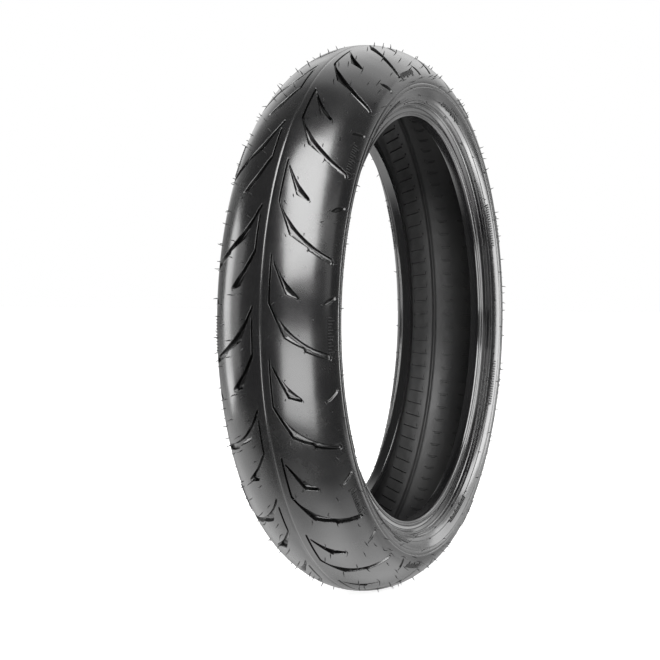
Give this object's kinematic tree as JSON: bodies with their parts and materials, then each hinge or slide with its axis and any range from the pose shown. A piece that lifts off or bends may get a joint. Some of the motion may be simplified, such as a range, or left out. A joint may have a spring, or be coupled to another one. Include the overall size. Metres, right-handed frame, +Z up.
{
  "type": "motorcycle tire",
  "caption": "Tubeless motorcycle tire with a round grooved tread, smooth sidewalls and stepped beads, open in the middle for its wheel.",
  "frame": {"origin": "centre of the tire on its spin axis, midway between the sidewalls", "axes": "+Y along the spin axis, out of the right-hand side; +Z up, the tire standing on its tread"},
  "size_m": [0.588, 0.13, 0.588],
  "materials": {
    "tread_rubber": "new moulded rubber with a soft sheen",
    "sidewall_rubber": "new moulded rubber, satin",
    "rim_strip_rubber": "moulded hard rubber, satin",
    "liner_rubber": "smooth airtight rubber with a bladder-printed texture",
    "belt_cord": "rubberised cord, matt",
    "body_cord": "rubberised cord, matt",
    "chafer_fabric": "rubberised square woven fabric, matt",
    "filler_rubber": "hard rubber, matt",
    "bead_wire": "bronze coated steel wire"
  },
  "bodies": {
    "root": {"tread": "tread_rubber", "belt_ply_outer": "belt_cord", "belt_ply_inner": "belt_cord", "body_ply_outer": "body_cord", "body_ply_inner": "body_cord", "inner_liner": "liner_rubber", "sidewall_right": "sidewall_rubber", "rim_strip_right": "rim_strip_rubber", "chafer_right": "chafer_fabric", "bead_filler_right": "filler_rubber", "bead_core_right": "bead_wire", "sidewall_left": "sidewall_rubber", "rim_strip_left": "rim_strip_rubber", "chafer_left": "chafer_fabric", "bead_filler_left": "filler_rubber", "bead_core_left": "bead_wire"}
  },
  "joints": []
}
